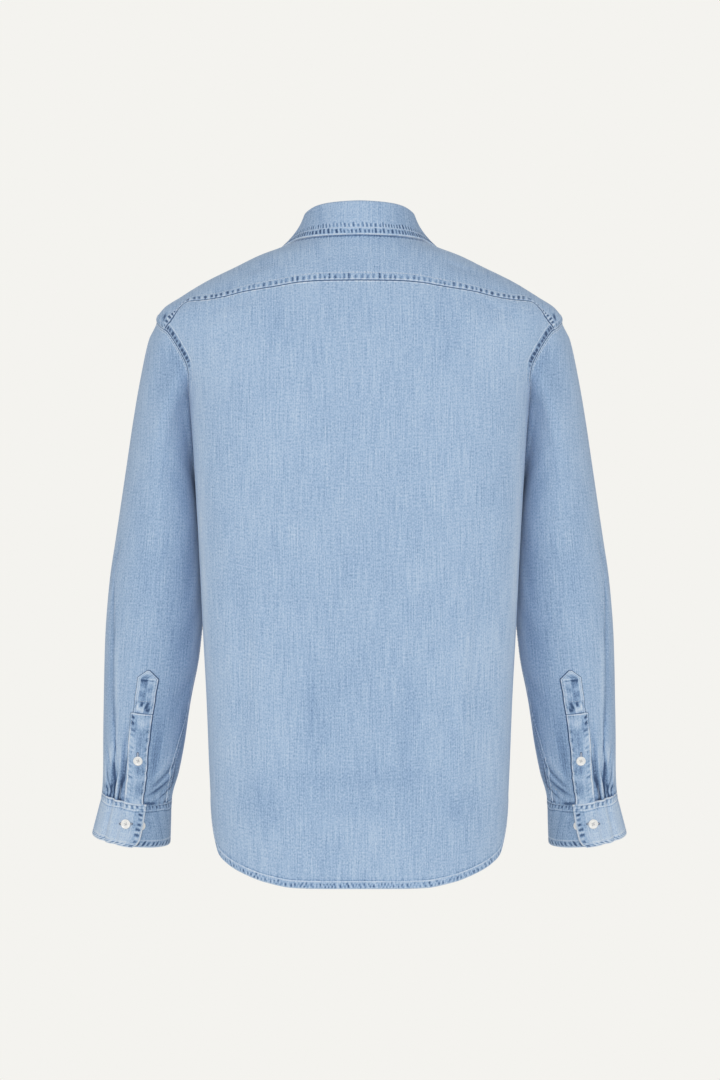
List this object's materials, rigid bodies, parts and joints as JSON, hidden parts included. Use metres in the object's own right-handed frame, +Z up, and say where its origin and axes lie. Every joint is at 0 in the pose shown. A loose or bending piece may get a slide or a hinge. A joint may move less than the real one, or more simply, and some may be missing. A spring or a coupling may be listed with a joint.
{
  "type": "denim shirt",
  "caption": "Long-sleeved denim shirt, buttoned up and filled out as if worn, with a pointed collar, a back yoke, a curved hem and buttoned cuffs.",
  "frame": {"origin": "middle of the neck opening, level with the seam at the back of the neck, where the wearer's neck and shoulders hold the shirt", "axes": "+Z up along the body, +Y towards the wearer's front, +X towards the wearer's right"},
  "size_m": [0.6252, 0.2442, 0.7736],
  "materials": {
    "denim": "light-washed blue denim, matt",
    "denim_trim": "light-washed blue denim, matt, stitched along its edges",
    "thread": "pale blue sewing thread",
    "button": "white, soft gloss"
  },
  "bodies": {
    "root": {"back": "denim", "front_left": "denim", "front_right": "denim", "sleeve_left": "denim", "sleeve_right": "denim", "yoke": "denim_trim", "front_placket": "denim_trim", "collar_stand": "denim_trim", "collar_leaf": "denim_trim", "cuff_left": "denim_trim", "cuff_right": "denim_trim", "sleeve_placket_left": "denim_trim", "sleeve_placket_right": "denim_trim", "button_collar": "button", "button_front_1": "button", "button_front_2": "button", "button_front_3": "button", "button_front_4": "button", "button_front_5": "button", "button_front_6": "button", "button_gauntlet_left": "button", "button_cuff_left": "button", "button_cuff_spare_left": "button", "button_gauntlet_right": "button", "button_cuff_right": "button", "button_cuff_spare_right": "button"}
  },
  "joints": []
}
